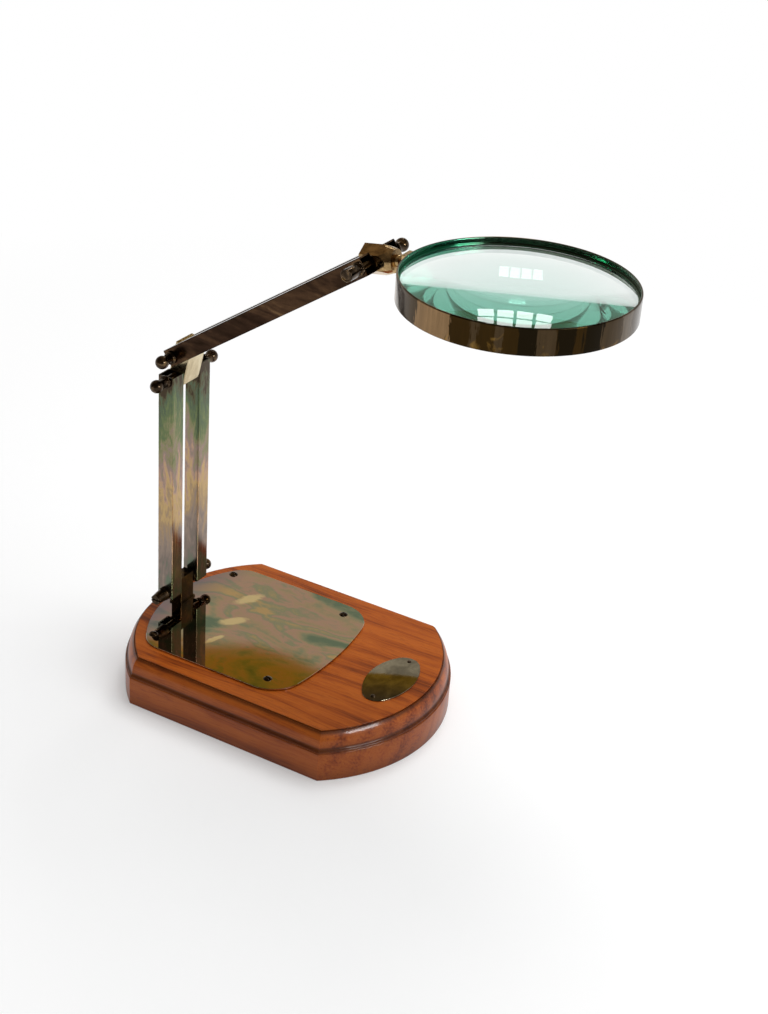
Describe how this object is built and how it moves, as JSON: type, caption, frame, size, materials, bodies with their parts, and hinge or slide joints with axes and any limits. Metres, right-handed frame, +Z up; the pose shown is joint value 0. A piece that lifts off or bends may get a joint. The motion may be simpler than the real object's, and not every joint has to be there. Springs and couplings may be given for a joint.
{
  "type": "stand magnifier",
  "caption": "Large round lens in a metal ring, held level by a jointed double-tube arm that folds at friction knobs, on a moulded wooden base with a brass plate.",
  "frame": {"origin": "middle of the base's flat underside", "axes": "+X along the base towards the lens, +Y across the base away from the slotted knob's side, +Z up"},
  "size_m": [0.3603, 0.18, 0.3711],
  "materials": {
    "wood": "glossy varnish, dark red-brown wood with its grain along the base",
    "tarnished_plate": "polished and tarnished brass with grey, green and pink patches",
    "dark_plate": "dark patinated brass, glossy",
    "dark_screw": "tarnished brass",
    "lower_tube": "polished brass tarnished green, pink and gold",
    "dark_bronze": "dark bronze patina, glossy",
    "knob_bronze": "dark bronze patina, glossy, turned",
    "link_brass": "polished brass, lightly tarnished",
    "head_brass": "golden-brown tarnished brass",
    "steel": "plain, hidden under the base",
    "ring_bronze": "dark bronze patina with gold patches",
    "glass": "clear glass with a green edge tint"
  },
  "bodies": {
    "base": {"wood_base": "wood", "brass_plate": "tarnished_plate", "plate_screws": "dark_screw", "oval_plate": "dark_plate", "oval_plate_pins": "dark_screw", "base_post": "dark_bronze", "post_bolt": "steel", "post_bolt_washer": "steel", "base_rod": "dark_bronze", "base_knob_slotted": "knob_bronze", "base_knob_round": "knob_bronze", "base_washers": "dark_bronze"},
    "lower_arm": {"lower_tube_near": "lower_tube", "lower_tube_far": "lower_tube", "lower_tube_sleeves": "dark_bronze"},
    "elbow": {"elbow_link": "link_brass", "elbow_lower_rod": "dark_bronze", "elbow_lower_knobs": "knob_bronze", "elbow_upper_rod": "dark_bronze", "elbow_upper_knobs": "knob_bronze"},
    "upper_arm": {"upper_tube_near": "dark_bronze", "upper_tube_far": "dark_bronze", "upper_tube_sleeves": "dark_bronze"},
    "head": {"head_block": "head_brass", "head_rod": "dark_bronze", "head_knob_flat": "knob_bronze", "head_knob_round": "knob_bronze", "head_washers": "dark_bronze", "ball_collar": "head_brass"},
    "ball": {"lens_ball": "head_brass"},
    "lens": {"ring_boss": "head_brass", "lens_ring": "ring_bronze", "lens_glass": "glass", "lower_retaining_ring": "ring_bronze", "upper_retaining_ring": "ring_bronze"}
  },
  "joints": [
    {"name": "base_pivot", "type": "hinge", "parent": "base", "child": "lower_arm", "pos_m": [-0.0993, 0, 0.0572], "axis": [0, 1, 0], "range_deg": [-25, 20]},
    {"name": "elbow_lower", "type": "hinge", "parent": "lower_arm", "child": "elbow", "pos_m": [-0.0993, 0, 0.2355], "axis": [0, 1, 0], "range_deg": [-30, 20]},
    {"name": "elbow_upper", "type": "hinge", "parent": "elbow", "child": "upper_arm", "pos_m": [-0.09464, 0, 0.25567], "axis": [0, 1, 0], "range_deg": [-20, 15]},
    {"name": "head_tilt", "type": "hinge", "parent": "upper_arm", "child": "head", "pos_m": [0.05362, 0, 0.35949], "axis": [0, 1, 0], "range_deg": [-60, 10]},
    {"name": "ball_turn", "type": "hinge", "parent": "head", "child": "ball", "pos_m": [0.06962, 0, 0.36202], "axis": [0, 0, 1], "range_deg": [-12, 12]},
    {"name": "lens_swivel", "type": "hinge", "parent": "ball", "child": "lens", "pos_m": [0.06962, 0, 0.36202], "axis": [1, 0, 0], "range_deg": [-90, 90]}
  ]
}
